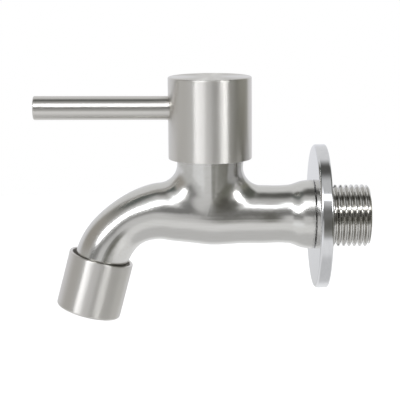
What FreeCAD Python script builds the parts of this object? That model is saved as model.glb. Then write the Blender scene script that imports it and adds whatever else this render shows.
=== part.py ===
import FreeCAD, Part
import math
import os
import re
import Sketcher
from FreeCAD import Vector

# Wall-mounted tap: an L-shaped cast body screwed into the wall, a loose wall
# flange, a quarter-turn ceramic headwork in the neck, a round handle cap with a
# rod lever, and a screwed nozzle with a flow straightener.
# Frame: +Z up, +Y into the wall, the front of the tap towards -Y.
# Origin: on the inlet thread's axis, where the back of the flange meets the wall.

# Driving dimensions, in millimetres and degrees
sizes = {
    # inlet thread, G 1/2 parallel pipe thread of 14 turns to the inch
    "thread_diameter": 20.955,
    "thread_pitch": 1.814,
    "thread_depth": 1.162,
    "thread_crest": 0.36,
    "thread_root": 0.30,
    "thread_length": 14.5,
    "thread_start": 2.5,
    "thread_relief": 1.3,
    "thread_chamfer": 0.76,
    "thread_phase": 0.043,
    "inlet_bore": 13.0,
    # wall flange, a dished disc that slides on the shank
    "flange_diameter": 48.5,
    "flange_depth": 4.2,
    "flange_wall": 1.3,
    "flange_bend": 1.0,
    "flange_hem": 0.5,
    "flange_clearance": 0.25,
    "shoulder_gap": 0.3,
    # cast body: inlet tube, belly under the neck, curved spout
    "tube_rise": 0.8,
    "flare_radius": 11.7,
    "flare_length": 8.6,
    "tube_radius": 9.8,
    "neck_distance": 39.0,
    "belly_radius": 10.15,
    "spout_root_radius": 9.85,
    "spout_axis_height": 2.4,
    "bend_start": 53.9,
    "bend_radius": 23.5,
    "spout_turn": 75.0,
    "spout_waist_radius": 8.45,
    "spout_radius": 8.95,
    "spout_end": 7.7,
    "spout_bore": 13.2,
    # neck that holds the headwork
    "neck_top": 22.5,
    "neck_wall": 2.5,
    "neck_inset": 0.65,
    "neck_root": 2.0,
    "neck_fillet": 6.4,
    "neck_front_fillet": 26.0,
    "neck_thread": 18.0,
    "neck_thread_depth": 8.5,
    "chamber_diameter": 15.8,
    "seat_height": 7.0,
    "seat_port": 9.0,
    "inlet_passage": 10.0,
    "inlet_step": 11.0,
    "inlet_taper": 3.0,
    "inlet_blind": 4.0,
    # headwork
    "ring_height": 1.0,
    "hex_shoulder": 0.5,
    "hex_height": 5.0,
    "barrel_diameter": 14.0,
    "barrel_height": 4.5,
    "foot_barrel_diameter": 13.4,
    "foot_barrel_bore": 12.0,
    "seal_height": 1.8,
    "disc_thickness": 2.5,
    "disc_clearance": 0.1,
    "disc_gap": 0.02,
    "disc_port": 9.2,
    "disc_port_angle": 80.0,
    "disc_web": 1.8,
    "key_width": 2.0,
    "key_length": 9.0,
    "key_depth": 1.2,
    "window_width": 7.0,
    "foot_height": 2.6,
    "foot_diameter": 10.0,
    "stop_lobe": 60.0,
    "stop_play": 1.0,
    "handle_swing": 90.0,
    "washer_height": 0.6,
    "spindle_diameter": 9.0,
    "running_clearance": 0.05,
    "spindle_waist": 6.6,
    "o_ring_section": 1.2,
    "o_ring_spacing": 4.5,
    "clip_height": 0.8,
    "clip_outer": 11.6,
    "clip_groove": 7.0,
    "spline_diameter": 8.0,
    "spline_depth": 0.45,
    "spline_length": 8.4,
    "spline_teeth": 20,
    # handle
    "cap_gap": 0.5,
    "cap_bottom": 20.2,
    "cap_height": 27.35,
    "cap_wall": 2.0,
    "cap_recess": 14.5,
    "cap_edge": 0.4,
    "cap_hem": 0.15,
    "insert_diameter": 12.0,
    "insert_height": 9.4,
    "lever_diameter": 8.0,
    "lever_height": 37.1,
    "lever_lift": 0.5,
    "lever_reach": 97.8,
    "lever_edge": 0.5,
    "lever_seat": 1.4,
    "lever_thread": 6.0,
    "stud_length": 4.0,
    "grub_length": 4.0,
    "grub_socket": 3.0,
    "grub_socket_depth": 2.0,
    # nozzle
    "collar_diameter": 22.0,
    "collar_wall": 1.0,
    "collar_start": -1.7,
    "collar_length": 19.2,
    "collar_recess": 2.4,
    "collar_edge": 0.8,
    "collar_outlet": 16.6,
    "nozzle_washer": 2.0,
    "cage_flange": 2.0,
    "cage_wall": 1.1,
    "cage_recess": 1.0,
    "cage_lip": 0.5,
    "strainer_height": 1.1,
    "strainer_wall": 0.4,
    "strainer_hole": 0.9,
    "strainer_pitch": 1.7,
    "diffuser_thickness": 1.2,
    "diffuser_hole": 1.0,
    "diffuser_circle": 9.6,
    "grid_thickness": 3.2,
    "grid_hole": 1.5,
    "grid_pitch": 2.0,
}

# Sizes that follow from the driving ones, as formulas
rules = {
    "thread_radius": "thread_diameter / 2",
    "flange_hole": "thread_radius + flange_clearance",
    "shoulder": "flange_depth + shoulder_gap",
    "neck_low_radius": "belly_radius - neck_inset",
    "neck_top_radius": "neck_thread / 2 + neck_wall",
    "chamber_radius": "chamber_diameter / 2",
    "chamber_top": "neck_top - neck_thread_depth",
    "seal_top": "seat_height + seal_height",
    "moving_disc_base": "seal_top + disc_thickness + disc_gap",
    "foot_base": "moving_disc_base + disc_thickness + disc_gap",
    "washer_base": "foot_base + foot_height + disc_gap",
    "bore_step": "washer_base + washer_height + disc_gap",
    "hex_across_flats": "neck_thread + 2 * hex_shoulder",
    "hex_base": "neck_top + ring_height",
    "hex_top": "hex_base + hex_height",
    "barrel_top": "hex_top + barrel_height",
    "spindle_radius": "spindle_diameter / 2",
    "housing_bore": "spindle_radius + running_clearance",
    "disc_radius": "foot_barrel_bore / 2 - disc_clearance",
    "cap_top": "cap_bottom + cap_height",
    "cap_bore": "neck_top_radius + cap_gap",
    "cap_radius": "cap_bore + cap_wall",
    "recess_top": "cap_bottom + cap_recess",
    "insert_radius": "insert_diameter / 2",
    "insert_top": "recess_top + insert_height",
    "spline_base": "barrel_top + 2 * clip_height",
    "spline_radius": "spline_diameter / 2",
    "spline_top": "recess_top + spline_length",
    "collar_radius": "collar_diameter / 2",
    "collar_bore": "spout_radius + running_clearance",
    "collar_outlet_radius": "collar_outlet / 2",
    "washer_face": "spout_end + nozzle_washer",
    "cage_seat": "washer_face + cage_flange",
    "collar_end": "collar_start + collar_length",
    "cage_end": "collar_end - cage_recess",
    "cage_radius": "collar_outlet_radius - disc_clearance",
    "cage_bore": "cage_radius - cage_wall",
    "bend_end_y": "-(bend_start + bend_radius * sin(spout_turn))",
    "bend_end_z": "spout_axis_height - bend_radius * (1 - cos(spout_turn))",
    "nozzle_lean": "spout_turn - 90",
}

doc = FreeCAD.newDocument("wall_tap")
sheet = doc.addObject("Spreadsheet::Sheet", "Sizes")
for row, (alias, number) in enumerate(sizes.items(), start=1):
    sheet.set(f"A{row}", alias.replace("_", " "))
    sheet.set(f"B{row}", str(number))
    sheet.setAlias(f"B{row}", alias)
doc.recompute()


def spelled(formula):
    """The formula with every rule written out in driving dimensions."""
    def swap(match):
        name = match.group()
        return f"({spelled(rules[name])})" if name in rules else name
    return re.sub(r"[a-z_]+", swap, str(formula))


def linked(formula):
    """The formula as an expression on the sheet's cells."""
    def swap(match):
        name = match.group()
        return f"Sizes.{name}" if name in sizes else name
    return re.sub(r"[a-z_]+", swap, spelled(formula))


def value(formula):
    """The formula's number, read from the sheet."""
    return float(sheet.evalExpression(linked(formula)))


def bind(thing, formulas):
    for prop, formula in formulas.items():
        thing.setExpression(prop, linked(formula))


def turned(thing, axis, angle):
    """Turns a thing about one axis by an angle that a formula gives."""
    thing.Placement.Rotation.Axis = Vector(*axis)
    thing.setExpression("Placement.Rotation.Angle", linked(angle))


def placed(thing, y="0", z="0"):
    bind(thing, {"Placement.Base.y": y, "Placement.Base.z": z})


def on_neck_axis(thing, z="0"):
    placed(thing, "-neck_distance", z)


def on_thread_axis(thing, y="0"):
    placed(thing, y)
    turned(thing, (1, 0, 0), "-90")


def on_nozzle_axis(thing):
    """Local +Z points back up the spout, from the end of its bend."""
    placed(thing, "bend_end_y", "bend_end_z")
    turned(thing, (1, 0, 0), "nozzle_lean")


def cylinder(name, radius, height):
    solid = doc.addObject("Part::Cylinder", name)
    bind(solid, {"Radius": radius, "Height": height})
    return solid


def cone(name, low_radius, high_radius, height):
    solid = doc.addObject("Part::Cone", name)
    bind(solid, {"Radius1": low_radius, "Radius2": high_radius, "Height": height})
    return solid


def block(name, length, width, height):
    solid = doc.addObject("Part::Box", name)
    bind(solid, {"Length": length, "Width": width, "Height": height})
    return solid


def fused(name, *shapes):
    result = doc.addObject("Part::MultiFuse", name)
    result.Shapes = list(shapes)
    return result


def cut(name, base, *tools):
    result = doc.addObject("Part::Cut", name)
    result.Base = base
    result.Tool = tools[0] if len(tools) == 1 else fused(name + "_cutters", *tools)
    return result


def origin_plane(body, role):
    return [f for f in body.Origin.OriginFeatures if f.Role == role][0]


def outline(body, name, role, corners):
    """A closed sketch of straight lines whose corners are formulas."""
    sketch = body.newObject("Sketcher::SketchObject", name)
    sketch.AttachmentSupport = [(origin_plane(body, role), "")]
    sketch.MapMode = "FlatFace"
    points = [(value(x), value(y)) for x, y in corners]
    count = len(points)
    for i in range(count):
        start, end = points[i], points[(i + 1) % count]
        sketch.addGeometry(Part.LineSegment(Vector(*start, 0), Vector(*end, 0)))
    for i in range(count):
        sketch.addConstraint(Sketcher.Constraint("Coincident", i, 2, (i + 1) % count, 1))
    for i, (x, y) in enumerate(corners):
        for kind, axis, formula, number in (
            ("DistanceX", -2, x, points[i][0]),
            ("DistanceY", -1, y, points[i][1]),
        ):
            if formula == "0":
                sketch.addConstraint(Sketcher.Constraint("PointOnObject", i, 1, axis))
                continue
            k = sketch.addConstraint(Sketcher.Constraint(kind, -1, 1, i, 1, number))
            sketch.setExpression(f"Constraints[{k}]", linked(formula))
    return sketch


def revolved(name, corners):
    """A PartDesign body turned about its own Z axis from an outline of (radius, z)."""
    body = doc.addObject("PartDesign::Body", name)
    sketch = outline(body, name + "_outline", "XZ_Plane", corners)
    turn = body.newObject("PartDesign::Revolution", name + "_turn")
    turn.Profile = sketch
    turn.ReferenceAxis = (sketch, ["V_Axis"])
    turn.Angle = 360
    return body


def ring(name, inner, outer, low, high):
    return revolved(name, [(inner, low), (outer, low), (outer, high), (inner, high)])


def tube_through(name, stations):
    """A smooth loft through circles square to a path in the YZ plane.

    Each station is (y, z, fall, radius), with fall the path's angle below level.
    """
    circles = []
    for i, (y, z, fall, radius) in enumerate(stations, start=1):
        circle = doc.addObject("Part::Circle", f"{name}_station_{i}")
        bind(circle, {"Radius": radius})
        placed(circle, y, z)
        turned(circle, (1, 0, 0), f"90 + {fall}")
        circles.append(circle)
    loft = doc.addObject("Part::Loft", name)
    loft.Sections = circles
    loft.Solid = True
    loft.Ruled = False
    return loft


def spout_stations(bend_circles, past_bend, end_radius):
    """Stations round the spout's bend, then along its straight end.

    bend_circles holds (part of the bend, radius), past_bend the distances.
    """
    stations = []
    for share, radius in bend_circles:
        angle = f"{share} * spout_turn"
        stations.append((
            f"-(bend_start + bend_radius * sin({angle}))",
            f"spout_axis_height - bend_radius * (1 - cos({angle}))",
            angle,
            radius,
        ))
    for distance in past_bend:
        stations.append((
            f"bend_end_y - ({distance}) * cos(spout_turn)",
            f"bend_end_z - ({distance}) * sin(spout_turn)",
            "spout_turn",
            end_radius,
        ))
    return stations


# Cast body: the outer skin of inlet tube, belly and spout
skin = tube_through("casting_skin", [
    ("-shoulder", "0.75 * tube_rise", "0", "flare_radius"),
    ("-(shoulder + 0.2 * flare_length)", "0.75 * tube_rise", "0",
     "(flare_radius * 19 + tube_radius) / 20"),
    ("-(shoulder + 0.4 * flare_length)", "0.8 * tube_rise", "0",
     "(flare_radius * 9 + tube_radius * 2) / 11"),
    ("-(shoulder + 0.6 * flare_length)", "0.85 * tube_rise", "0",
     "(flare_radius * 5 + tube_radius * 4) / 9"),
    ("-(shoulder + 0.8 * flare_length)", "0.95 * tube_rise", "0",
     "(flare_radius + tube_radius * 4) / 5"),
    ("-(shoulder + flare_length)", "tube_rise", "0", "tube_radius + 0.05"),
    ("-0.53 * neck_distance", "tube_rise", "0", "tube_radius"),
    ("-0.74 * neck_distance", "tube_rise + 0.1", "0", "(tube_radius * 4 + belly_radius) / 5"),
    ("-neck_distance", "tube_rise + 0.05", "0", "belly_radius"),
    ("-(neck_distance + bend_start) / 2", "(tube_rise + spout_axis_height) / 2", "0",
     "(belly_radius + spout_root_radius) / 2"),
    ("-(bend_start - 2.5)", "spout_axis_height - 0.4", "0", "spout_root_radius"),
] + spout_stations([
    ("0.08", "(spout_root_radius * 4 + spout_waist_radius) / 5"),
    ("0.2", "(spout_root_radius + spout_waist_radius) / 2"),
    ("0.35", "(spout_root_radius + spout_waist_radius * 5) / 6"),
    ("0.5", "spout_waist_radius"),
    ("0.65", "(spout_waist_radius * 2 + spout_radius) / 3"),
    ("0.8", "(spout_waist_radius + spout_radius * 4) / 5"),
    ("1", "spout_radius"),
], ["spout_end / 3", "spout_end"], "spout_radius"))

# The neck, a little wider at the top than at the belly. It is made in quarters,
# which give its blend a corner in front, behind and at both sides.
quarters = []
for i in range(4):
    quarter = cone(f"neck_quarter_{i + 1}", "neck_low_radius", "neck_top_radius",
                   "neck_top - neck_root")
    bind(quarter, {"Angle": "90"})
    on_neck_axis(quarter, "neck_root")
    turned(quarter, (0, 0, 1), f"90 * {i}")
    quarters.append(quarter)
rough_casting = fused("rough_casting", skin, *quarters)
rough_casting.Refine = False
doc.recompute()


def crossing_edges(shape, low, high, reach):
    """Numbers of the edges where the neck runs into the tube."""
    axis_y = -value("neck_distance")
    found = []
    for number, edge in enumerate(shape.Edges, start=1):
        box = edge.BoundBox
        beside_neck = box.YMin > axis_y - reach and box.YMax < axis_y + reach
        in_height = box.ZMin > low and box.ZMax < high
        if beside_neck and in_height and box.ZLength > 1 and box.XLength > 0.5:
            found.append(number)
    return found


def blend_radius(point):
    """Widest in front and behind, where the neck and the tube run nearly flush."""
    across = abs(point.y + value("neck_distance"))
    aside = math.atan2(across, abs(point.x)) / (math.pi / 2)
    return (1 - aside) * value("neck_front_fillet") + aside * value("neck_fillet")


def end_radii(edge):
    return [blend_radius(edge.valueAt(end)) for end in (edge.FirstParameter, edge.LastParameter)]


doc.recompute()
blended = doc.addObject("Part::Fillet", "blended_casting")
blended.Base = rough_casting
blended.Edges = [
    (number, *end_radii(rough_casting.Shape.Edges[number - 1]))
    for number in crossing_edges(
        rough_casting.Shape, value("neck_root"), value("neck_top - 1"),
        value("neck_top_radius + neck_fillet"))
]

# The shank: a plain relief behind the shoulder, then the thread, cut as one
# helical groove. Its outline is drawn as arcs of a sixth of a turn, so that
# each patch of crest is short and measures as the wall of a shaft.
shank = doc.addObject("PartDesign::Body", "shank")
shank_sketch = shank.newObject("Sketcher::SketchObject", "shank_outline")
shank_sketch.AttachmentSupport = [(origin_plane(shank, "XY_Plane"), "")]
shank_sketch.MapMode = "FlatFace"
arcs = 6
for i in range(arcs):
    circle = Part.Circle(Vector(0, 0, 0), Vector(0, 0, 1), value("thread_radius"))
    shank_sketch.addGeometry(
        Part.ArcOfCircle(circle, math.tau * i / arcs, math.tau * (i + 1) / arcs))
for i in range(arcs):
    shank_sketch.addConstraint(
        Sketcher.Constraint("Coincident", i, 2, (i + 1) % arcs, 1))
    if i + 1 < arcs:
        shank_sketch.addConstraint(Sketcher.Constraint("Coincident", i, 3, -1, 1))
shank_sketch.addConstraint(Sketcher.Constraint("Equal", 0, arcs - 1))
k = shank_sketch.addConstraint(
    Sketcher.Constraint("Radius", 0, value("thread_radius")))
shank_sketch.setExpression(f"Constraints[{k}]", linked("thread_radius"))
shank_pad = shank.newObject("PartDesign::Pad", "shank_pad")
shank_pad.Profile = shank_sketch
shank_pad.Refine = False
bind(shank_pad, {"Length": "thread_length + thread_start"})
doc.recompute()
end_edges = [
    f"Edge{number}" for number, edge in enumerate(shank_pad.Shape.Edges, start=1)
    if edge.BoundBox.ZMin > value("thread_length + thread_start - thread_crest")
]
shank_end = shank.newObject("PartDesign::Chamfer", "shank_end")
shank_end.Base = (shank_pad, end_edges)
shank_end.Refine = False
bind(shank_end, {"Size": "thread_chamfer"})
groove_half = "(thread_pitch - thread_crest) / 2"
root_half = "thread_root / 2"
flank = "((thread_pitch - thread_crest - thread_root) / 2 / thread_depth)"
above = "thread_crest / 4"
root_radius = "thread_radius - thread_depth"
mouth_half = f"{groove_half} + {flank} * {above}"
groove = outline(shank, "thread_groove", "XZ_Plane", [
    (root_radius, f"-thread_phase - {root_half}"),
    (f"thread_radius + {above}", f"-thread_phase - ({mouth_half})"),
    (f"thread_radius + {above}", f"{mouth_half} - thread_phase"),
    (root_radius, f"{root_half} - thread_phase"),
])
doc.recompute()
thread = shank.newObject("PartDesign::SubtractiveHelix", "thread")
thread.Profile = groove
thread.ReferenceAxis = (groove, ["V_Axis"])
thread.Mode = 0
thread.Refine = False
bind(thread, {"Pitch": "thread_pitch",
              "Height": "thread_length + thread_start + thread_pitch"})
on_thread_axis(shank, "-thread_start")
relief = cylinder("shank_relief", "thread_radius - thread_relief", "shoulder - thread_start")
on_thread_axis(relief, "-shoulder")

# Waterways: the inlet bore, its narrower blind end under the seat, the port up
# to the seat, the chamber round the headwork, and the way down to the spout
inlet_way = cylinder("inlet_way", "inlet_bore / 2", "thread_length + neck_distance - inlet_step")
on_thread_axis(inlet_way, "-(neck_distance - inlet_step)")
inlet_taper = cone("inlet_taper", "inlet_passage / 2", "inlet_bore / 2", "inlet_taper")
on_thread_axis(inlet_taper, "-(neck_distance - inlet_step + inlet_taper)")
inlet_end = cylinder("inlet_end", "inlet_passage / 2", "inlet_step + inlet_blind")
on_thread_axis(inlet_end, "-(neck_distance + inlet_blind)")
seat_port = cylinder("seat_port", "seat_port / 2", "seat_height")
on_neck_axis(seat_port)
chamber = cylinder("chamber", "chamber_radius", "chamber_top - seat_height")
on_neck_axis(chamber, "seat_height")
neck_bore = cylinder("neck_bore", "neck_thread / 2", "neck_thread_depth + ring_height")
on_neck_axis(neck_bore, "chamber_top")
outlet_way = tube_through("outlet_way", [
    ("-(neck_distance + 5)", "seat_height + 3.6", "50", "0.57 * spout_bore / 2"),
    ("-(neck_distance + 9.5)", "(seat_height + spout_axis_height) / 2 + 2.4", "38",
     "0.76 * spout_bore / 2"),
    ("-(neck_distance + 14)", "spout_axis_height + 1.9", "18", "0.94 * spout_bore / 2"),
] + spout_stations(
    [(share, "spout_bore / 2") for share in ("0.2", "0.4", "0.6", "0.8", "1")],
    ["spout_end / 3", "spout_end + 1"], "spout_bore / 2"))
casting = fused("casting", blended, relief, shank)
tap_body = cut("tap_body", casting, inlet_way, inlet_taper, inlet_end, seat_port,
               chamber, neck_bore, outlet_way)
casting.Refine = False
tap_body.Refine = False


def round_edges(shape, radius, height):
    """Names of the circular edges of this radius at this height on the Z axis."""
    names = []
    for number, edge in enumerate(shape.Edges, start=1):
        curve = edge.Curve
        if not isinstance(curve, Part.Circle):
            continue
        same_radius = abs(curve.Radius - value(radius)) < 0.001
        same_height = abs(curve.Center.z - value(height)) < 0.001
        if same_radius and same_height:
            names.append(f"Edge{number}")
    return names


def dressed(body, kind, size, circles):
    """Adds a PartDesign Fillet or Chamfer to the body's round edges."""
    doc.recompute()
    base = body.Tip
    names = [n for radius, height in circles for n in round_edges(base.Shape, radius, height)]
    dress = body.newObject(f"PartDesign::{kind}", f"{body.Name}_{size}")
    dress.Base = (base, names)
    bind(dress, {"Radius" if kind == "Fillet" else "Size": size})


# Wall flange: a flat disc with its rim turned back to the wall
wall_flange = revolved("wall_flange", [
    ("flange_hole", "-flange_depth"),
    ("flange_diameter / 2", "-flange_depth"),
    ("flange_diameter / 2", "0"),
    ("flange_diameter / 2 - flange_wall", "0"),
    ("flange_diameter / 2 - flange_wall", "flange_wall - flange_depth"),
    ("flange_hole", "flange_wall - flange_depth"),
])
dressed(wall_flange, "Fillet", "flange_bend", [("flange_diameter / 2", "-flange_depth")])
dressed(wall_flange, "Fillet", "flange_hem", [("flange_diameter / 2", "0")])
on_thread_axis(wall_flange)


def sector(name, radius, height, base, start, angle):
    """Part of a cylinder on the neck axis, from one angle round to another."""
    wedge = cylinder(name, radius, height)
    bind(wedge, {"Angle": angle})
    on_neck_axis(wedge, base)
    turned(wedge, (0, 0, 1), start)
    return wedge


def neck_cylinder(name, radius, height, base):
    solid = cylinder(name, radius, height)
    on_neck_axis(solid, base)
    return solid


def neck_block(name, length, width, height, base):
    """A block centred on the neck axis, its length along X."""
    solid = block(name, length, width, height)
    bind(solid, {"Placement.Base.x": f"-({length}) / 2"})
    placed(solid, f"-neck_distance - ({width}) / 2", base)
    return solid


# Headwork housing: barrel round the discs, thread in the neck, hexagon, top barrel
housing_turned = revolved("housing_turned", [
    ("foot_barrel_bore / 2", "seal_top"),
    ("foot_barrel_diameter / 2", "seal_top"),
    ("foot_barrel_diameter / 2", "chamber_top + disc_clearance"),
    ("neck_thread / 2 - running_clearance", "chamber_top + disc_clearance"),
    ("neck_thread / 2 - running_clearance", "hex_base"),
    ("hex_across_flats / 2", "hex_base"),
    ("hex_across_flats / 2", "hex_top"),
    ("barrel_diameter / 2", "hex_top"),
    ("barrel_diameter / 2", "barrel_top"),
    ("housing_bore", "barrel_top"),
    ("housing_bore", "bore_step"),
    ("foot_barrel_bore / 2", "bore_step"),
])
on_neck_axis(housing_turned)
hexagon = doc.addObject("Part::Prism", "housing_hexagon")
hexagon.Polygon = 6
bind(hexagon, {"Circumradius": "hex_across_flats / sqrt(3)", "Height": "hex_height"})
on_neck_axis(hexagon, "hex_base")
hexagon_ring = cut("hexagon_ring", hexagon,
                   neck_cylinder("hexagon_core", "barrel_diameter / 2", "hex_height", "hex_base"))
stop_height = "washer_base - foot_base - disc_clearance - disc_gap"
stop_base = "foot_base + disc_clearance"
stop_rib = cut(
    "stop_rib",
    sector("stop_sector", "(foot_barrel_bore + foot_barrel_diameter) / 4", stop_height, stop_base,
           "stop_lobe + handle_swing + stop_play",
           "360 - stop_lobe - handle_swing - 2 * stop_play"),
    neck_cylinder("stop_core", "foot_diameter / 2 + disc_clearance", stop_height, stop_base))
window = neck_block("housing_window", "2 * chamber_radius", "window_width",
                    "chamber_top - moving_disc_base", "moving_disc_base")
cartridge_housing = cut("cartridge_housing",
                        fused("housing_blank", housing_turned, hexagon_ring, stop_rib), window)

cartridge_seal_ring = ring("cartridge_seal_ring", "neck_thread / 2 + running_clearance",
                           "neck_top_radius - running_clearance", "neck_top", "hex_base")
on_neck_axis(cartridge_seal_ring)
seat_seal = ring("seat_seal", "seat_port / 2", "foot_barrel_diameter / 2",
                 "seat_height", "seal_top")
on_neck_axis(seat_seal)


def disc_ports(name, radius, height, base, start):
    """Two opposite sector openings that leave a web round the axis."""
    wedges = [
        sector(f"{name}_wedge_{i}", radius, height, base,
               f"{start} - disc_port_angle / 2 + 180 * {i}", "disc_port_angle")
        for i in range(2)
    ]
    web = neck_cylinder(f"{name}_web", "disc_web", height, base)
    return cut(name, fused(f"{name}_wedges", *wedges), web)


# Ceramic discs: the fixed one opens towards +X and -X, the moving one is
# notched towards +Y and -Y while the tap is shut
fixed_disc = cut(
    "fixed_disc",
    neck_cylinder("fixed_disc_blank", "disc_radius", "disc_thickness", "seal_top"),
    disc_ports("fixed_ports", "disc_port / 2", "disc_thickness", "seal_top", "0"))
moving_disc = cut(
    "moving_disc",
    neck_cylinder("moving_disc_blank", "disc_radius", "disc_thickness", "moving_disc_base"),
    disc_ports("moving_notches", "chamber_radius", "disc_thickness", "moving_disc_base", "90"),
    neck_block("moving_disc_slot", "key_length + 2 * running_clearance",
               "key_width + 2 * running_clearance", "key_depth + disc_gap",
               "moving_disc_base + disc_thickness - key_depth - disc_gap"))


def splined_rod(name, tip, root, base, height):
    """A toothed rod on its body's Z axis, one tooth repeated round it."""
    body = doc.addObject("PartDesign::Body", name)
    core = body.newObject("PartDesign::AdditiveCylinder", f"{name}_core")
    bind(core, {"Radius": root, "Height": height, "Placement.Base.z": base})
    half = f"({tip}) * 1.45 / spline_teeth"
    sketch = outline(body, f"{name}_tooth_outline", "XY_Plane", [
        ("disc_web", f"-({half})"), (tip, f"-({half})"), (tip, half), ("disc_web", half),
    ])
    bind(sketch, {"AttachmentOffset.Base.z": base})
    tooth = body.newObject("PartDesign::Pad", f"{name}_tooth")
    tooth.Profile = sketch
    bind(tooth, {"Length": height})
    teeth = body.newObject("PartDesign::PolarPattern", f"{name}_teeth")
    teeth.Originals = [tooth]
    teeth.Axis = (sketch, ["N_Axis"])
    teeth.Angle = 360
    bind(teeth, {"Occurrences": "spline_teeth"})
    body.Tip = teeth
    on_neck_axis(body)
    return body


# Spindle: foot with its stop lobe and key, stem with two O-ring grooves, clip
# groove, splined top
groove_height = "1.2 * o_ring_section"
first_groove = "bore_step + 3"
second_groove = f"{first_groove} + o_ring_spacing"
clip_base = "barrel_top + running_clearance"
stem_steps = []
for base in (first_groove, second_groove):
    stem_steps += [
        ("spindle_radius", base),
        ("spindle_waist / 2", base),
        ("spindle_waist / 2", f"{base} + {groove_height}"),
        ("spindle_radius", f"{base} + {groove_height}"),
    ]
stem = revolved("spindle_stem", [
    ("0", "foot_base"),
    ("foot_diameter / 2", "foot_base"),
    ("foot_diameter / 2", "foot_base + foot_height"),
    ("spindle_radius", "foot_base + foot_height"),
] + stem_steps + [
    ("spindle_radius", clip_base),
    ("clip_groove / 2", clip_base),
    ("clip_groove / 2", f"{clip_base} + clip_height"),
    ("spline_radius", f"{clip_base} + clip_height"),
    ("spline_radius", "spline_base"),
    ("0", "spline_base"),
])
on_neck_axis(stem)
spindle = fused(
    "spindle", stem,
    splined_rod("spindle_spline", "spline_radius", "spline_radius - spline_depth",
                "spline_base", "spline_top - spline_base"),
    sector("spindle_lobe", "disc_radius", "foot_height - 2 * disc_clearance",
           "foot_base + disc_clearance", "0", "stop_lobe"),
    neck_block("spindle_key", "key_length", "key_width", "key_depth + foot_height / 2",
               "foot_base - key_depth"))

ring_turns = []
for i, base in enumerate((first_groove, second_groove), start=1):
    turn = doc.addObject("Part::Torus", f"o_ring_{i}")
    bind(turn, {"Radius1": "(spindle_waist + o_ring_section) / 2 + disc_gap / 2",
                "Radius2": "o_ring_section / 2"})
    on_neck_axis(turn, f"{base} + {groove_height} / 2")
    ring_turns.append(turn)
spindle_o_rings = doc.addObject("Part::Compound", "spindle_o_rings")
spindle_o_rings.Links = ring_turns

friction_washer = ring("friction_washer", "housing_bore", "disc_radius",
                       "washer_base", "washer_base + washer_height")
on_neck_axis(friction_washer)
clip_ring = ring("clip_ring", "clip_groove / 2 + running_clearance", "clip_outer / 2",
                 clip_base, f"{clip_base} + clip_height - disc_gap")
on_neck_axis(clip_ring)
clip_gap = block("clip_gap", "clip_outer", "clip_groove / 2", "2 * clip_height")
placed(clip_gap, "-neck_distance - clip_groove / 4", clip_base)
spindle_clip = cut("spindle_clip", clip_ring, clip_gap)


def along_lever(thing, near):
    """Local +Z points out along the lever, from a distance off the neck axis."""
    placed(thing, f"-neck_distance - ({near}) * cos(lever_lift)",
           f"lever_height + ({near}) * sin(lever_lift)")
    turned(thing, (1, 0, 0), "90 - lever_lift")


def lever_cylinder(name, radius, near, far):
    """A cylinder along the lever, between two distances from the neck axis."""
    solid = cylinder(name, radius, f"{far} - ({near})")
    along_lever(solid, near)
    return solid


# Handle cap: a deep round cap, with a blind bore for the spline insert and a
# tapped hole behind the lever's seat
cap_turned = revolved("cap_turned", [
    ("cap_bore", "cap_bottom"),
    ("cap_radius", "cap_bottom"),
    ("cap_radius", "cap_top"),
    ("0", "cap_top"),
    ("0", "insert_top"),
    ("insert_radius", "insert_top"),
    ("insert_radius", "recess_top"),
    ("cap_bore", "recess_top"),
])
dressed(cap_turned, "Chamfer", "cap_edge", [("cap_radius", "cap_top")])
dressed(cap_turned, "Chamfer", "cap_hem", [("cap_radius", "cap_bottom")])
on_neck_axis(cap_turned)
lever_root = "cap_radius - lever_seat"
handle_cap = cut(
    "handle_cap", cap_turned,
    lever_cylinder("lever_seat_hole", "lever_diameter / 2 + running_clearance",
                   lever_root, "cap_radius + lever_seat"),
    lever_cylinder("lever_tapping", "lever_thread / 2 + running_clearance",
                   "spline_radius", lever_root))
spline_insert = cut(
    "spline_insert",
    neck_cylinder("insert_blank", "insert_radius - running_clearance",
                  "insert_height - disc_gap", "recess_top"),
    splined_rod("insert_spline", "spline_radius + running_clearance",
                "spline_radius - spline_depth + running_clearance",
                "recess_top - 1", "insert_height"),
    lever_cylinder("insert_side_hole", "lever_thread / 2 + running_clearance",
                   "spline_radius / 2", "insert_diameter"))

lever_rod = revolved("lever_rod", [
    ("0", f"{lever_root} - stud_length"),
    ("lever_thread / 2", f"{lever_root} - stud_length"),
    ("lever_thread / 2", lever_root),
    ("lever_diameter / 2", lever_root),
    ("lever_diameter / 2", "lever_reach - neck_distance"),
    ("0", "lever_reach - neck_distance"),
])
dressed(lever_rod, "Chamfer", "lever_edge", [("lever_diameter / 2", "lever_reach - neck_distance")])
along_lever(lever_rod, "0")

grub_start = "spline_radius + 3 * running_clearance"
socket = doc.addObject("Part::Prism", "grub_socket")
socket.Polygon = 6
bind(socket, {"Circumradius": "grub_socket / sqrt(3)", "Height": "grub_socket_depth + disc_gap"})
along_lever(socket, f"{grub_start} + grub_length - grub_socket_depth")
grub_screw = cut(
    "grub_screw",
    lever_cylinder("grub_blank", "lever_thread / 2", grub_start, f"{grub_start} + grub_length"),
    socket)

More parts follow.
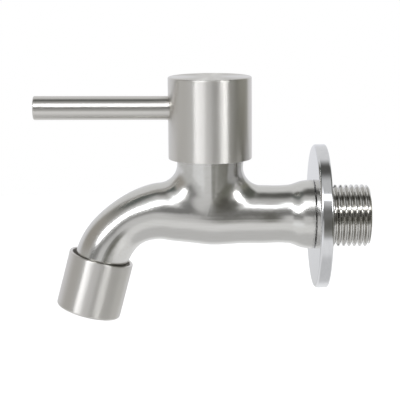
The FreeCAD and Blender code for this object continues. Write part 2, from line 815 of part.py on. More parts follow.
# Nozzle: a screwed collar that clamps a washer and the flow straightener's
# cage under the end of the spout
nozzle_collar = revolved("nozzle_collar", [
    ("collar_radius - collar_wall", "-collar_start"),
    ("collar_radius", "-collar_start"),
    ("collar_radius", "-collar_end"),
    ("collar_outlet_radius", "-collar_end"),
    ("collar_outlet_radius", "-cage_seat"),
    ("collar_bore", "-cage_seat"),
    ("collar_bore", "-(collar_start + collar_recess)"),
    ("collar_radius - collar_wall", "-(collar_start + collar_recess)"),
])
dressed(nozzle_collar, "Fillet", "collar_edge", [("collar_radius", "-collar_end")])
aerator_washer = ring("aerator_washer", "spout_bore / 2 - running_clearance",
                      "spout_radius - running_clearance", "-washer_face", "-spout_end")
aerator_housing = revolved("aerator_housing", [
    ("cage_bore + cage_wall / 2", "-washer_face"),
    ("spout_radius - running_clearance", "-washer_face"),
    ("spout_radius - running_clearance", "-cage_seat"),
    ("cage_radius", "-cage_seat"),
    ("cage_radius", "-cage_end"),
    ("cage_bore - cage_lip", "-cage_end"),
    ("cage_bore - cage_lip", "cage_lip - cage_end"),
    ("cage_bore", "cage_lip - cage_end"),
    ("cage_bore", "-(washer_face + diffuser_thickness)"),
    ("cage_bore + cage_wall / 2", "-(washer_face + diffuser_thickness)"),
])


def hex_spots(rings, pitch):
    """Places on a triangular grid, as formulas, out to a number of rings."""
    spots = []
    for column in range(-rings, rings + 1):
        for line in range(-rings, rings + 1):
            if abs(column + line) <= rings:
                spots.append((f"{pitch} * {column + line / 2}",
                              f"{pitch} * {line} * sqrt(3) / 2"))
    return spots


def circle_spots(count, diameter):
    return [(f"{diameter} / 2 * cos(360 * {i} / {count})",
             f"{diameter} / 2 * sin(360 * {i} / {count})") for i in range(count)]


def perforated(name, radius, low, high, spots, hole):
    """A disc on its body's Z axis with round holes right through it."""
    body = doc.addObject("PartDesign::Body", name)
    disc = body.newObject("PartDesign::AdditiveCylinder", f"{name}_disc")
    bind(disc, {"Radius": radius, "Height": f"({high}) - ({low})", "Placement.Base.z": low})
    sketch = body.newObject("Sketcher::SketchObject", f"{name}_holes")
    sketch.AttachmentSupport = [(origin_plane(body, "XY_Plane"), "")]
    sketch.MapMode = "FlatFace"
    bind(sketch, {"AttachmentOffset.Base.z": high})
    for i, (x, y) in enumerate(spots):
        centre = Vector(value(x), value(y), 0)
        sketch.addGeometry(Part.Circle(centre, Vector(0, 0, 1), value(hole) / 2))
        for kind, formula, number in (("DistanceX", x, centre.x), ("DistanceY", y, centre.y)):
            k = sketch.addConstraint(Sketcher.Constraint(kind, -1, 1, i, 3, number))
            sketch.setExpression(f"Constraints[{k}]", linked(formula))
        k = sketch.addConstraint(Sketcher.Constraint("Radius", i, value(hole) / 2))
        sketch.setExpression(f"Constraints[{k}]", linked(f"{hole} / 2"))
    holes = body.newObject("PartDesign::Pocket", f"{name}_pocket")
    holes.Profile = sketch
    bind(holes, {"Length": f"({high}) - ({low})"})
    return body


strainer_plate = perforated(
    "strainer_plate", "spout_bore / 2 - 2 * running_clearance",
    "-(washer_face - strainer_height + strainer_wall)", "-(washer_face - strainer_height)",
    hex_spots(3, "strainer_pitch"), "strainer_hole")
strainer_skirt = ring(
    "strainer_skirt", "spout_bore / 2 - 2 * running_clearance - strainer_wall",
    "spout_bore / 2 - 2 * running_clearance",
    "-washer_face", "-(washer_face - strainer_height)")
aerator_strainer = fused("aerator_strainer", strainer_plate, strainer_skirt)
aerator_diffuser = perforated(
    "aerator_diffuser", "cage_bore + cage_wall / 2 - running_clearance",
    "-(washer_face + diffuser_thickness)", "-washer_face",
    circle_spots(12, "diffuser_circle"), "diffuser_hole")
aerator_grid = perforated(
    "aerator_grid", "cage_bore - running_clearance",
    "cage_lip - cage_end", "cage_lip - cage_end + grid_thickness",
    hex_spots(3, "grid_pitch"), "grid_hole")
for piece in (nozzle_collar, aerator_washer, aerator_housing, strainer_plate,
              strainer_skirt, aerator_diffuser, aerator_grid):
    on_nozzle_axis(piece)

pieces = [
    tap_body, wall_flange,
    cartridge_housing, cartridge_seal_ring, seat_seal, fixed_disc, moving_disc,
    spindle, spindle_o_rings, friction_washer, spindle_clip,
    handle_cap, spline_insert, lever_rod, grub_screw,
    nozzle_collar, aerator_washer, aerator_housing, aerator_strainer,
    aerator_diffuser, aerator_grid,
]
doc.recompute()
for thing in doc.Objects:
    if "Invalid" in thing.State or "Error" in thing.State:
        raise RuntimeError(f"{thing.Label} failed: {thing.State}")
for piece in pieces:
    shape = piece.Shape
    if shape.isNull() or not shape.isValid() or not shape.Solids:
        raise RuntimeError(f"{piece.Label} has no valid solid")
os.makedirs("parts", exist_ok=True)
for piece in pieces:
    piece.Shape.exportStep(f"parts/{piece.Label}.step")
    box = piece.Shape.BoundBox
    print(f"{piece.Label}: {len(piece.Shape.Solids)} solid, {piece.Shape.Volume:.1f} mm3, "
          f"Y {box.YMin:.2f} to {box.YMax:.2f}, Z {box.ZMin:.2f} to {box.ZMax:.2f}")
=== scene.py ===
import math

import bmesh
import bpy
from mathutils import Matrix, Vector


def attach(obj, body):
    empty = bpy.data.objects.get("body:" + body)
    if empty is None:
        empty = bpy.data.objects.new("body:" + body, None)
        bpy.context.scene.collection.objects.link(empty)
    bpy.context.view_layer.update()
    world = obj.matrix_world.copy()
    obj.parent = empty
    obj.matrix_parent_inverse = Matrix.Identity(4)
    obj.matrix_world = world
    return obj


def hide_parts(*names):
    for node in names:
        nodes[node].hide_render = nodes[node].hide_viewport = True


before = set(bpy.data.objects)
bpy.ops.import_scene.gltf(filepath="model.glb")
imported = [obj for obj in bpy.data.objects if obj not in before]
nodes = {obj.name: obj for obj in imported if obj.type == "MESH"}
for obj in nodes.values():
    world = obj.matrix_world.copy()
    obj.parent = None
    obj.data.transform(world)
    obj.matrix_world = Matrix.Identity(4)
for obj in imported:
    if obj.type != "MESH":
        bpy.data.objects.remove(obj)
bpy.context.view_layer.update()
scene = bpy.context.scene
mm = 0.001
print("frame loaded:", len(nodes), "nodes")


def toLinear(hexColour):  # sRGB hex to linear RGBA
    parts = [int(hexColour[i:i + 2], 16) / 255 for i in (1, 3, 5)]
    return [p / 12.92 if p <= 0.04045 else ((p + 0.055) / 1.055) ** 2.4 for p in parts] + [1.0]


def addNode(tree, kind, sockets=None, **settings):
    node = tree.nodes.new(kind)
    for setting, choice in settings.items():
        setattr(node, setting, choice)
    for key, source in (sockets or {}).items():
        if isinstance(source, bpy.types.NodeSocket):
            tree.links.new(source, node.inputs[key])
        else:
            node.inputs[key].default_value = source
    return node


# a Mix node's sockets go by number, because their names repeat
plainA, plainB, colourA, colourB, colourOut = 2, 3, 6, 7, 2

# camera, fitted to the photograph, with the thread's size as the scale: mm and degrees
photoView = {
    "target": (0.0, -42.54, 5.88), "distance": 450.0,
    "azimuth": 1.09, "elevation": 10.39, "roll": -0.45,
    "pixelsPerMm": 2.96, "pixelsAcross": 400, "sensor": 36.0, "clipStart": 10.0,
}


def makeCamera(view):
    azimuth, elevation, roll = (math.radians(view[k]) for k in ("azimuth", "elevation", "roll"))
    back = Vector((math.cos(azimuth) * math.cos(elevation),
                   -math.sin(azimuth) * math.cos(elevation), math.sin(elevation)))
    right = Vector((0, 0, 1)).cross(back).normalized()
    up = back.cross(right)
    rolledRight = math.cos(roll) * right + math.sin(roll) * up
    rolledUp = math.cos(roll) * up - math.sin(roll) * right
    data = bpy.data.cameras.new("photoCamera")
    data.sensor_width = view["sensor"]
    data.lens = view["pixelsPerMm"] * view["distance"] / view["pixelsAcross"] * view["sensor"]
    data.clip_start = view["clipStart"] * mm
    camera = bpy.data.objects.new("photoCamera", data)
    place = (Vector(view["target"]) + view["distance"] * back) * mm
    turn = Matrix((rolledRight, rolledUp, back)).transposed().to_4x4()
    camera.matrix_world = Matrix.Translation(place) @ turn
    scene.collection.objects.link(camera)
    scene.camera = camera


makeCamera(photoView)

# soft studio: what the metal mirrors round the tap, as soft-edged panels on a
# sphere. Azimuth runs from +X towards +Y, elevation from the horizon, in degrees.
studio = {
    "fill": ("#FDFEFF", 0.70),
    "panels": [
        # name, azimuth, elevation, half width, half height, turn, softness, colour, level
        ("floor", 0, -58, 400, 34, 0, 8, "#FCFDFF", 0.76),
        ("floorGlow", 0, -40, 400, 16, 0, 8, "#FCFDFF", 1.02),
        ("backWall", 178, 42, 60, 32, 0, 14, "#FCFDFF", 0.92),
        ("backGlow", 180, 4, 75, 15, 0, 7, "#F9FAFF", 0.95),
        ("leftUpper", -84, 63, 30, 23, 0, 10, "#F2FFFA", 0.15),
        ("leftSide", -90, 25, 30, 18, 0, 10, "#FFFAF2", 0.45),
        ("ceiling", 0, 89, 400, 15, 0, 9, "#FFFFFA", 0.12),
        ("rightUpper", 74, 50, 42, 24, 0, 10, "#FAFFF3", 0.13),
        ("rightSide", 98, 9, 27, 30, 0, 10, "#FFFEEE", 0.29),
        ("leftLow", -44, -25, 22, 7, 0, 7, "#F9FBFF", 1.25),
        ("leftBand", -36, 3, 20, 9, -5, 5, "#FFFFFF", 0.26),
        ("centre", -6, 6, 13, 21, 0, 5, "#FFFFFF", 0.22),
        ("rightHorizon", 46, -9, 40, 15, 0, 6, "#FFFFEC", 0.17),
        ("darkCore", 18, 5, 12, 17, 0, 6, "#FFF9E6", 0.08),
        ("centreColumn", -11, -9, 12, 12.5, 0, 5, "#FCFDFF", 0.84),
        ("leftTop", -14, 49, 15, 5, 12, 6, "#F8FAFF", 2.4),
        ("leftSoftbox", -30.5, 30, 19.5, 5.5, 37, 3.5, "#F8FAFF", 11.8),
        ("rightStrip", 12, 38.5, 20, 3.4, -18, 4, "#F8FAFF", 4.5),
        ("rightLamp", 38, 22, 13, 3.5, -38, 3, "#F9FBFF", 19.0),
        ("lowGlow", 36, -33, 20, 4, -22, 4, "#FCFDFF", 1.25),
    ],
}


def shine(colour, level):
    return [part * level for part in toLinear(colour)[:3]] + [1.0]


def makeWorld(studio):
    world = bpy.data.worlds.new("studio")
    scene.world = world
    world.use_nodes = True
    tree = world.node_tree
    tree.nodes.clear()
    direction = addNode(tree, "ShaderNodeSeparateXYZ", {
        0: addNode(tree, "ShaderNodeTexCoord").outputs["Generated"]}).outputs
    azimuth = addNode(tree, "ShaderNodeMath", {0: direction["Y"], 1: direction["X"]},
                      operation="ARCTAN2").outputs[0]
    elevation = addNode(tree, "ShaderNodeMath", {0: direction["Z"]}, operation="ARCSINE").outputs[0]
    angles = addNode(tree, "ShaderNodeCombineXYZ", {0: azimuth, 1: elevation}).outputs[0]
    degrees = addNode(tree, "ShaderNodeVectorMath", {0: angles, "Scale": math.degrees(1)},
                      operation="SCALE").outputs[0]
    seen = shine(*studio["fill"])
    for name, az, el, halfWidth, halfHeight, turn, soft, colour, level in studio["panels"]:
        offset = addNode(tree, "ShaderNodeVectorMath", {0: degrees, 1: (az, el, 0)},
                         operation="SUBTRACT").outputs[0]
        nearest = addNode(tree, "ShaderNodeVectorMath", {0: offset, 1: [180] * 3, 2: [-180] * 3},
                          operation="WRAP").outputs[0]
        turned = addNode(tree, "ShaderNodeVectorRotate", {
            "Vector": nearest, "Angle": -math.radians(turn)}, rotation_type="Z_AXIS").outputs[0]
        away = addNode(tree, "ShaderNodeVectorMath", {0: turned}, operation="ABSOLUTE").outputs[0]
        sides = addNode(tree, "ShaderNodeSeparateXYZ", {0: away}).outputs
        cover = 1.0
        for distance, half in ((sides["X"], halfWidth), (sides["Y"], halfHeight)):
            edge = addNode(tree, "ShaderNodeMapRange", {
                "Value": distance, "From Min": half + soft, "From Max": half - soft},
                interpolation_type="SMOOTHSTEP").outputs[0]
            cover = addNode(tree, "ShaderNodeMath", {0: cover, 1: edge},
                            operation="MULTIPLY").outputs[0]
        seen = addNode(tree, "ShaderNodeMix", {
            "Factor": cover, colourA: seen, colourB: shine(colour, level)},
            data_type="RGBA", label=name).outputs[colourOut]
    rays = addNode(tree, "ShaderNodeLightPath").outputs
    plain = addNode(tree, "ShaderNodeMath", {
        0: rays["Is Camera Ray"], 1: rays["Is Diffuse Ray"]}, operation="MAXIMUM").outputs[0]
    # the camera and diffuse rays see plain white, mirrored rays see the panels
    seen = addNode(tree, "ShaderNodeMix", {
        "Factor": plain, colourA: seen, colourB: (1, 1, 1, 1)},
        data_type="RGBA").outputs[colourOut]
    light = addNode(tree, "ShaderNodeBackground", {"Color": seen, "Strength": 1.0})
    addNode(tree, "ShaderNodeOutputWorld", {"Surface": light.outputs[0]})


floorPlan = {
    "radius": 900.0, "centreY": -40.0, "height": -150.0, "sides": 96,
    "shadow": 0.4,  # share of the white that comes from the light, so that a shadow can dim it
}


def makeFloor(plan):
    mesh = bpy.data.meshes.new("studioFloor")
    shape = bmesh.new()
    centre = Vector((0, plan["centreY"], plan["height"])) * mm
    bmesh.ops.create_circle(shape, cap_ends=True, segments=plan["sides"],
                            radius=plan["radius"] * mm, matrix=Matrix.Translation(centre))
    bmesh.ops.recalc_face_normals(shape, faces=shape.faces)
    shape.to_mesh(mesh)
    shape.free()
    material = bpy.data.materials.new("white_seamless_paper")  # glows white, keeps a soft shadow
    material.use_nodes = True
    tree = material.node_tree
    tree.nodes.clear()
    glow = addNode(tree, "ShaderNodeEmission", {"Strength": 1 - plan["shadow"]})
    paper = addNode(tree, "ShaderNodeBsdfDiffuse", {"Color": [plan["shadow"]] * 3 + [1.0]})
    lit = addNode(tree, "ShaderNodeAddShader", {0: glow.outputs[0], 1: paper.outputs[0]})
    away = addNode(tree, "ShaderNodeBsdfTransparent")
    rays = addNode(tree, "ShaderNodeLightPath").outputs
    under = addNode(tree, "ShaderNodeNewGeometry").outputs["Backfacing"]
    hidden = addNode(tree, "ShaderNodeMath", {0: under, 1: rays["Is Glossy Ray"]},
                     operation="MAXIMUM").outputs[0]
    shown = addNode(tree, "ShaderNodeMixShader", {0: hidden, 1: lit.outputs[0], 2: away.outputs[0]})
    addNode(tree, "ShaderNodeOutputMaterial", {0: shown.outputs[0]})
    mesh.materials.append(material)
    floor = bpy.data.objects.new("studioFloor", mesh)
    scene.collection.objects.link(floor)


makeWorld(studio)
makeFloor(floorPlan)
print("studio ready:", len(studio["panels"]), "panels")

# finishes: a pattern's scale is 1 / its size. It reads Object coordinates in metres, and on
# turned pieces the UV map, whose U is metres along the profile and whose V is turns round it
noiseSpan = (0.3, 0.7)  # nearly all of a noise pattern's values lie between these


def startFinish(name, metallic=1.0):
    material = bpy.data.materials.new(name)
    material.use_nodes = True
    shader = material.node_tree.nodes["Principled BSDF"]
    shader.inputs["Metallic"].default_value = metallic
    return material, material.node_tree, shader


def dressShader(tree, shader, finish, tone, wear, span=noiseSpan):
    # tone goes from the dull to the bright colour, wear from the smooth to the rough end of polish
    toned = addNode(tree, "ShaderNodeMix", {
        "Factor": tone, colourA: toLinear(finish["dull"]), colourB: toLinear(finish["bright"])},
        data_type="RGBA").outputs[colourOut]
    rough = addNode(tree, "ShaderNodeMapRange", {
        "Value": wear, "From Min": span[0], "From Max": span[1],
        "To Min": finish["polish"][0], "To Max": finish["polish"][1]}).outputs[0]
    tree.links.new(toned, shader.inputs["Base Color"])
    tree.links.new(rough, shader.inputs["Roughness"])
    return rough


castSteel = {
    "bright": "#D0CFCC", "dull": "#C4C2BD", "polish": (0.16, 0.22), "threadPolish": 0.09,
    "cloud": 6.0,             # mm, patches left by the hand-held belt
    "cloudShare": 0.65,       # how much the patches count beside the scratches
    "wearSpan": (0.5, 1.15),  # where patches and scratches together mostly lie
    "scratch": 0.4,           # mm between belt scratches, really 0.05, drawn coarser to show
    "scratchLength": 9.0, "scratchDepth": 0.0008,  # mm
    "ripple": 5.0, "rippleDepth": 0.010,  # mm, the casting under the polish isn't quite even
    "threadStart": -3.6, "threadBlend": 0.2,  # mm along the inlet, where the machined shank begins
}


def castStainless(finish):  # satin-polished casting: soft mirror, faintly uneven
    material, tree, shader = startFinish("stainless_304_cast_satin")
    place = addNode(tree, "ShaderNodeTexCoord").outputs["Object"]
    cloud = addNode(tree, "ShaderNodeTexNoise", {
        "Vector": place, "Scale": 1 / (finish["cloud"] * mm), "Detail": 3.0}).outputs["Fac"]
    along = addNode(tree, "ShaderNodeMapping", {
        "Vector": place, "Scale": (1 / (finish["scratch"] * mm), 1 / (finish["scratchLength"] * mm),
                                   1 / (finish["scratch"] * mm))}).outputs[0]
    scratch = addNode(tree, "ShaderNodeTexNoise", {
        "Vector": along, "Scale": 1.0, "Detail": 2.0, "Roughness": 0.6}).outputs["Fac"]
    wear = addNode(tree, "ShaderNodeMath", {0: cloud, 1: finish["cloudShare"], 2: scratch},
                   operation="MULTIPLY_ADD").outputs[0]
    satin = dressShader(tree, shader, finish, scratch, wear, finish["wearSpan"])
    inlet = addNode(tree, "ShaderNodeSeparateXYZ", {0: place}).outputs["Y"]
    machined = addNode(tree, "ShaderNodeMapRange", {
        "Value": inlet, "From Min": finish["threadStart"] * mm,
        "From Max": (finish["threadStart"] + finish["threadBlend"]) * mm}).outputs[0]
    rough = addNode(tree, "ShaderNodeMix", {
        "Factor": machined, plainA: satin, plainB: finish["threadPolish"]}).outputs[0]
    tree.links.new(rough, shader.inputs["Roughness"])
    ripple = addNode(tree, "ShaderNodeTexNoise", {
        "Vector": place, "Scale": 1 / (finish["ripple"] * mm), "Detail": 1.0}).outputs["Fac"]
    wavy = addNode(tree, "ShaderNodeBump", {
        "Height": ripple, "Strength": 1.0, "Distance": finish["rippleDepth"] * mm}).outputs[0]
    fine = addNode(tree, "ShaderNodeBump", {
        "Height": scratch, "Normal": wavy, "Strength": 0.5,
        "Distance": finish["scratchDepth"] * mm}).outputs[0]
    tree.links.new(fine, shader.inputs["Normal"])
    return material


turnedSteel = {
    "bright": "#D2D0CC", "dull": "#C8C5BF", "polish": (0.32, 0.38), "anisotropy": 0.96,
    "shade": 32.0,         # mm, broad faint shades; single tool marks aren't drawn
    "shadeArc": 600.0,     # degrees round the piece
    "shadeDepth": 0.0003,  # mm
}


def turnedStainless(finish):  # lathe-turned: light smears along the axis, sharp round the part
    material, tree, shader = startFinish("stainless_304_turned_satin")
    shader.inputs["Anisotropic"].default_value = finish["anisotropy"]
    axial = addNode(tree, "ShaderNodeTangent", direction_type="UV_MAP", uv_map="UVMap").outputs[0]
    tree.links.new(axial, shader.inputs["Tangent"])
    unrolled = addNode(tree, "ShaderNodeUVMap", uv_map="UVMap").outputs[0]
    wound = addNode(tree, "ShaderNodeMapping", {
        "Vector": unrolled,
        "Scale": (1 / (finish["shade"] * mm), 360 / finish["shadeArc"], 1)}).outputs[0]
    shade = addNode(tree, "ShaderNodeTexNoise", {
        "Vector": wound, "Scale": 1.0, "Detail": 3.0, "Roughness": 0.65}).outputs["Fac"]
    dressShader(tree, shader, finish, shade, shade)
    relief = addNode(tree, "ShaderNodeBump", {
        "Height": shade, "Strength": 0.6, "Distance": finish["shadeDepth"] * mm}).outputs[0]
    tree.links.new(relief, shader.inputs["Normal"])
    return material


sheetSteel = {
    "bright": "#D6D6D6", "dull": "#CACACB", "polish": (0.05, 0.10),
    "peel": 2.6, "peelDepth": 0.006,  # mm, the pressed sheet's slight orange peel
    "wipe": 1.2, "wipeLength": 14.0,  # mm, wiping marks
}


def polishedSheet(finish):  # pressed and buffed sheet: near mirror with an orange peel
    material, tree, shader = startFinish("stainless_304_sheet_polished")
    place = addNode(tree, "ShaderNodeTexCoord").outputs["Object"]
    peel = addNode(tree, "ShaderNodeTexNoise", {
        "Vector": place, "Scale": 1 / (finish["peel"] * mm), "Detail": 2.0}).outputs["Fac"]
    swept = addNode(tree, "ShaderNodeMapping", {
        "Vector": place, "Scale": (1 / (finish["wipe"] * mm), 1 / (finish["wipe"] * mm),
                                   1 / (finish["wipeLength"] * mm))}).outputs[0]
    wipe = addNode(tree, "ShaderNodeTexNoise", {
        "Vector": swept, "Scale": 1.0, "Detail": 4.0}).outputs["Fac"]
    dressShader(tree, shader, finish, wipe, wipe)
    relief = addNode(tree, "ShaderNodeBump", {
        "Height": peel, "Strength": 1.0, "Distance": finish["peelDepth"] * mm}).outputs[0]
    tree.links.new(relief, shader.inputs["Normal"])
    return material


# inner finishes, each with a fine grain in mm that is drawn coarser than the real one to show
innerValues = ("bright", "dull", "metallic", "polish", "grain", "grainDepth")
innerFinishes = {
    # yellow with a soft shine
    "brass_turned": ("#C8A55C", "#B8934A", 1.0, (0.22, 0.34), 0.5, 0.004),
    # paler yellow, a little sharper
    "brass_spindle_drawn": ("#CCAE6B", "#BE9C54", 1.0, (0.2, 0.3), 0.8, 0.003),
    # dark grey metal with a dull shine
    "spring_steel_blued": ("#8E8F92", "#77787C", 1.0, (0.28, 0.4), 0.6, 0.003),
    # cream white and glossy
    "alumina_ceramic_lapped": ("#EDEAE2", "#E2DED4", 0.0, (0.12, 0.2), 1.5, 0.001),
    # near black and matt
    "nitrile_rubber_moulded": ("#2A2A29", "#1F1F1F", 0.0, (0.5, 0.66), 0.4, 0.01),
    # white and grey plastic with a waxy sheen
    "acetal_white_moulded": ("#EFEEEA", "#E4E3DD", 0.0, (0.34, 0.46), 0.7, 0.004),
    "acetal_grey_moulded": ("#A9A9A6", "#9A9A97", 0.0, (0.36, 0.5), 0.7, 0.004),
}


def innerFinish(name, finish):
    material, tree, shader = startFinish(name, finish["metallic"])
    place = addNode(tree, "ShaderNodeTexCoord").outputs["Object"]
    grain = addNode(tree, "ShaderNodeTexNoise", {
        "Vector": place, "Scale": 1 / (finish["grain"] * mm), "Detail": 3.0}).outputs["Fac"]
    dressShader(tree, shader, finish, grain, grain)
    relief = addNode(tree, "ShaderNodeBump", {
        "Height": grain, "Strength": 0.6, "Distance": finish["grainDepth"] * mm}).outputs[0]
    tree.links.new(relief, shader.inputs["Normal"])
    return material


finishes = {name: innerFinish(name, dict(zip(innerValues, values)))
            for name, values in innerFinishes.items()}
finishes["cast"] = castStainless(castSteel)
finishes["turned"] = turnedStainless(turnedSteel)
finishes["sheet"] = polishedSheet(sheetSteel)

nodeFinishes = {
    "cast": ["tap_body"],
    "brass_turned": ["cartridge_housing"],
    "brass_spindle_drawn": ["spindle"],
    "spring_steel_blued": ["spindle_clip", "grub_screw"],
    "alumina_ceramic_lapped": ["fixed_disc", "moving_disc"],
    "nitrile_rubber_moulded": ["cartridge_seal_ring", "seat_seal", "spindle_o_rings",
                               "aerator_washer"],
    "acetal_white_moulded": ["aerator_housing", "aerator_strainer", "aerator_diffuser",
                             "aerator_grid", "friction_washer"],
    "acetal_grey_moulded": ["spline_insert"],
}
for finish, members in nodeFinishes.items():
    for name in members:
        for slot in nodes[name].material_slots:
            slot.material = finishes[finish]
print("finishes ready:", len(finishes))

turning = {
    "segments": 160,
    "steps": 6,        # faces across each rounding
    "hold": 0.05,      # mm, a point this close to each rounding keeps the faces beside it flat
    "room": 0.45,      # share of the shorter side that a rounding may take
    "weld": 0.001,     # mm, closes the seam and the poles
    "sliver": 0.0005,  # mm, shorter edges are dissolved
}


# swings a profile round the Z axis. The profile's points have the radius as x, the distance
# run along the profile as y and the height as z
def turningTree(weld):
    tree = bpy.data.node_groups.new("turnedPiece", "GeometryNodeTree")
    tree.interface.new_socket("Profile", in_out="INPUT", socket_type="NodeSocketGeometry")
    tree.interface.new_socket("Segments", in_out="INPUT", socket_type="NodeSocketInt")
    tree.interface.new_socket("Finish", in_out="INPUT", socket_type="NodeSocketMaterial")
    tree.interface.new_socket("Turned", in_out="OUTPUT", socket_type="NodeSocketGeometry")
    given = addNode(tree, "NodeGroupInput").outputs
    count = addNode(tree, "GeometryNodeAttributeDomainSize",
                    {"Geometry": given["Profile"]}).outputs["Point Count"]
    columns = addNode(tree, "ShaderNodeMath", {0: given["Segments"], 1: 1.0},
                      operation="ADD").outputs[0]
    grid = addNode(tree, "GeometryNodeMeshGrid", {
        "Vertices X": columns, "Vertices Y": count}).outputs["Mesh"]
    index = addNode(tree, "GeometryNodeInputIndex").outputs[0]
    passed = addNode(tree, "ShaderNodeMath", {0: index, 1: count}, operation="DIVIDE").outputs[0]
    column = addNode(tree, "ShaderNodeMath", {0: passed}, operation="FLOOR").outputs[0]
    row = addNode(tree, "ShaderNodeMath", {0: index, 1: count}, operation="MODULO").outputs[0]
    point = addNode(tree, "GeometryNodeSampleIndex", {
        "Geometry": given["Profile"], "Index": row,
        "Value": addNode(tree, "GeometryNodeInputPosition").outputs[0]},
        data_type="FLOAT_VECTOR").outputs[0]
    corner = addNode(tree, "ShaderNodeSeparateXYZ", {0: point}).outputs
    share = addNode(tree, "ShaderNodeMath", {0: column, 1: given["Segments"]},
                    operation="DIVIDE").outputs[0]
    angle = addNode(tree, "ShaderNodeMath", {0: share, 1: math.tau},
                    operation="MULTIPLY").outputs[0]
    place = {2: corner["Z"]}
    for axis, wave in enumerate(("COSINE", "SINE")):
        reach = addNode(tree, "ShaderNodeMath", {0: angle}, operation=wave).outputs[0]
        place[axis] = addNode(tree, "ShaderNodeMath", {0: corner["X"], 1: reach},
                              operation="MULTIPLY").outputs[0]
    swung = addNode(tree, "ShaderNodeCombineXYZ", place).outputs[0]
    moved = addNode(tree, "GeometryNodeSetPosition", {
        "Geometry": grid, "Position": swung}).outputs[0]
    along, around = (addNode(tree, "GeometryNodeFieldOnDomain", {0: field},
                             domain="POINT", data_type="FLOAT").outputs[0]
                     for field in (corner["Y"], share))
    flat = addNode(tree, "ShaderNodeCombineXYZ", {0: along, 1: around}).outputs[0]
    marked = addNode(tree, "GeometryNodeStoreNamedAttribute", {
        "Geometry": moved, "Name": "UVMap", "Value": flat},
        data_type="FLOAT2", domain="CORNER").outputs[0]
    closed = addNode(tree, "GeometryNodeMergeByDistance", {
        "Geometry": marked, "Distance": weld * mm}).outputs[0]
    real = addNode(tree, "GeometryNodeRealizeInstances", {"Geometry": closed}).outputs[0]
    dressed = addNode(tree, "GeometryNodeSetMaterial", {
        "Geometry": real, "Material": given["Finish"]}).outputs[0]
    addNode(tree, "NodeGroupOutput", {"Turned": dressed})
    return tree


turningNodes = turningTree(turning["weld"])


def roundedProfile(corners, closed):
    # corners are (radius, height, rounding) in mm
    count = len(corners)
    steps, hold = turning["steps"], turning["hold"]
    points = []
    for k, (r, h, rounding) in enumerate(corners):
        here = Vector((r, h))
        if not closed and k in (0, count - 1):
            points.append(here)
            continue
        before = Vector(corners[k - 1][:2]) - here
        after = Vector(corners[(k + 1) % count][:2]) - here
        room = turning["room"] * min(before.length, after.length)
        before.normalize()
        after.normalize()
        half = before.angle(after) / 2
        setback = min(rounding / math.tan(half), room)
        rounding = setback * math.tan(half)
        centre = here + (before + after).normalized() * rounding / math.sin(half)
        start, end = here + before * setback - centre, here + after * setback - centre
        points.append(centre + start + before * hold)
        for i in range(steps + 1):
            points.append(centre + start.lerp(end, i / steps).normalized() * rounding)
        points.append(centre + end + after * hold)
    if closed:
        points.append(points[0])
    return points


def turnPiece(name, corners, axis, finish, closed=False, segments=turning["segments"]):
    points = roundedProfile(corners, closed)
    run = [0.0]
    for a, b in zip(points, points[1:]):
        run.append(run[-1] + (b - a).length)
    mesh = bpy.data.meshes.new(name)
    mesh.from_pydata([(p.x * mm, along * mm, p.y * mm) for p, along in zip(points, run)],
                     [(i, i + 1) for i in range(len(points) - 1)], [])
    profile = bpy.data.objects.new(name + "_profile", mesh)
    scene.collection.objects.link(profile)
    modifier = profile.modifiers.new("turning", "NODES")
    modifier.node_group = turningNodes
    sockets = turningNodes.interface.items_tree
    inputs = {s.name: s.identifier for s in sockets if s.in_out == "INPUT"}
    modifier[inputs["Segments"]] = segments
    modifier[inputs["Finish"]] = finishes[finish]
    solid = bpy.data.meshes.new_from_object(
        profile.evaluated_get(bpy.context.evaluated_depsgraph_get()))
    bpy.data.objects.remove(profile)
    solid.name = name
    solid.transform(axis)
    shape = bmesh.new()
    shape.from_mesh(solid)
    bmesh.ops.dissolve_degenerate(shape, dist=turning["sliver"] * mm, edges=shape.edges)
    if shape.calc_volume(signed=True) < 0:
        bmesh.ops.reverse_faces(shape, faces=shape.faces)
    for face in shape.faces:
        face.smooth = True
    shape.to_mesh(solid)
    shape.free()
    piece = bpy.data.objects.new(name, solid)
    scene.collection.objects.link(piece)
    return piece


def axisAt(y, z, lean):  # local +Z leans back from the vertical by lean degrees, towards -Y
    return Matrix.Translation((0, y * mm, z * mm)) @ Matrix.Rotation(math.radians(lean), 4, "X")


# the pieces, in mm: heights run along each piece's own axis, and names ending in Edge are
# roundings
handleCap = {
    "neckDistance": 39.0, "bottom": 20.2, "top": 47.55, "radius": 14.0, "bore": 12.0,
    "recessTop": 34.7, "insertRadius": 6.0, "insertTop": 44.1,
    "topEdge": 0.45, "bottomEdge": 0.2, "innerEdge": 0.1,
}
c = handleCap
cap = turnPiece("turned_handle_cap", [
    (0, c["top"], 0), (c["radius"], c["top"], c["topEdge"]),
    (c["radius"], c["bottom"], c["bottomEdge"]), (c["bore"], c["bottom"], c["bottomEdge"]),
    (c["bore"], c["recessTop"], c["innerEdge"]),
    (c["insertRadius"], c["recessTop"], c["innerEdge"]),
    (c["insertRadius"], c["insertTop"], c["innerEdge"]), (0, c["insertTop"], 0),
], axisAt(-c["neckDistance"], 0, 0), "turned")
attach(cap, "handle")
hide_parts("handle_cap")

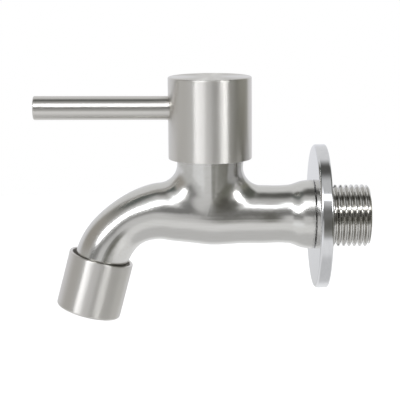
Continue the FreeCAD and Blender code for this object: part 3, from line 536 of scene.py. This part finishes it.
leverRod = {
    "height": 37.1, "lift": 0.5, "radius": 4.0, "stud": 3.0, "seat": 12.6, "studStart": 8.6,
    "tip": 58.8, "segments": 96,
    "studEdge": 0.2, "rootEdge": 0.05, "seatEdge": 0.1, "tipEdge": 0.5,
}
c = leverRod
lever = turnPiece("turned_lever_rod", [
    (0, c["studStart"], 0), (c["stud"], c["studStart"], c["studEdge"]),
    (c["stud"], c["seat"], c["rootEdge"]), (c["radius"], c["seat"], c["seatEdge"]),
    (c["radius"], c["tip"], c["tipEdge"]), (0, c["tip"], 0),
], axisAt(-handleCap["neckDistance"], c["height"], 90 - c["lift"]), "turned", segments=c["segments"])
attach(lever, "handle")
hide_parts("lever_rod")

nozzleCollar = {
    "bendStart": 53.9, "bendRadius": 23.5, "spoutTurn": 75.0, "spoutHeight": 2.4,  # the spout
    "radius": 11.0, "lip": 10.0, "start": 1.7, "recess": -0.7, "bore": 9.0, "seat": -11.7,
    "outlet": 8.3, "end": -17.5,
    "lipEdge": 0.15, "startEdge": 0.25, "endEdge": 0.9, "outletEdge": 0.3, "innerEdge": 0.1,
}
c = nozzleCollar
spoutTurn = math.radians(c["spoutTurn"])
bendEnd = axisAt(-c["bendStart"] - c["bendRadius"] * math.sin(spoutTurn),
                 c["spoutHeight"] - c["bendRadius"] * (1 - math.cos(spoutTurn)),
                 c["spoutTurn"] - 90)
collar = turnPiece("turned_nozzle_collar", [
    (c["lip"], c["start"], c["lipEdge"]), (c["radius"], c["start"], c["startEdge"]),
    (c["radius"], c["end"], c["endEdge"]), (c["outlet"], c["end"], c["outletEdge"]),
    (c["outlet"], c["seat"], c["innerEdge"]), (c["bore"], c["seat"], c["innerEdge"]),
    (c["bore"], c["recess"], c["innerEdge"]), (c["lip"], c["recess"], c["innerEdge"]),
], bendEnd, "turned", closed=True)
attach(collar, "body")
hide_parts("nozzle_collar")

wallFlange = {
    "thread": 10.4775, "clearance": 0.25, "radius": 24.25, "depth": 4.2, "wall": 1.3, "segments": 220,
    "holeEdge": 0.2, "bendEdge": 1.0, "hemEdge": 0.5, "innerHemEdge": 0.2, "innerBendEdge": 0.5,
}
c = wallFlange
hole = c["thread"] + c["clearance"]
flange = turnPiece("pressed_wall_flange", [
    (hole, -c["depth"], c["holeEdge"]), (c["radius"], -c["depth"], c["bendEdge"]),
    (c["radius"], 0, c["hemEdge"]), (c["radius"] - c["wall"], 0, c["innerHemEdge"]),
    (c["radius"] - c["wall"], c["wall"] - c["depth"], c["innerBendEdge"]),
    (hole, c["wall"] - c["depth"], c["holeEdge"]),
], axisAt(0, 0, -90), "sheet", closed=True, segments=c["segments"])
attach(flange, "flange")
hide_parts("wall_flange")
print("turned pieces:", {o.name: len(o.data.polygons) for o in (cap, lever, collar, flange)})

scene.view_settings.view_transform = "Standard"
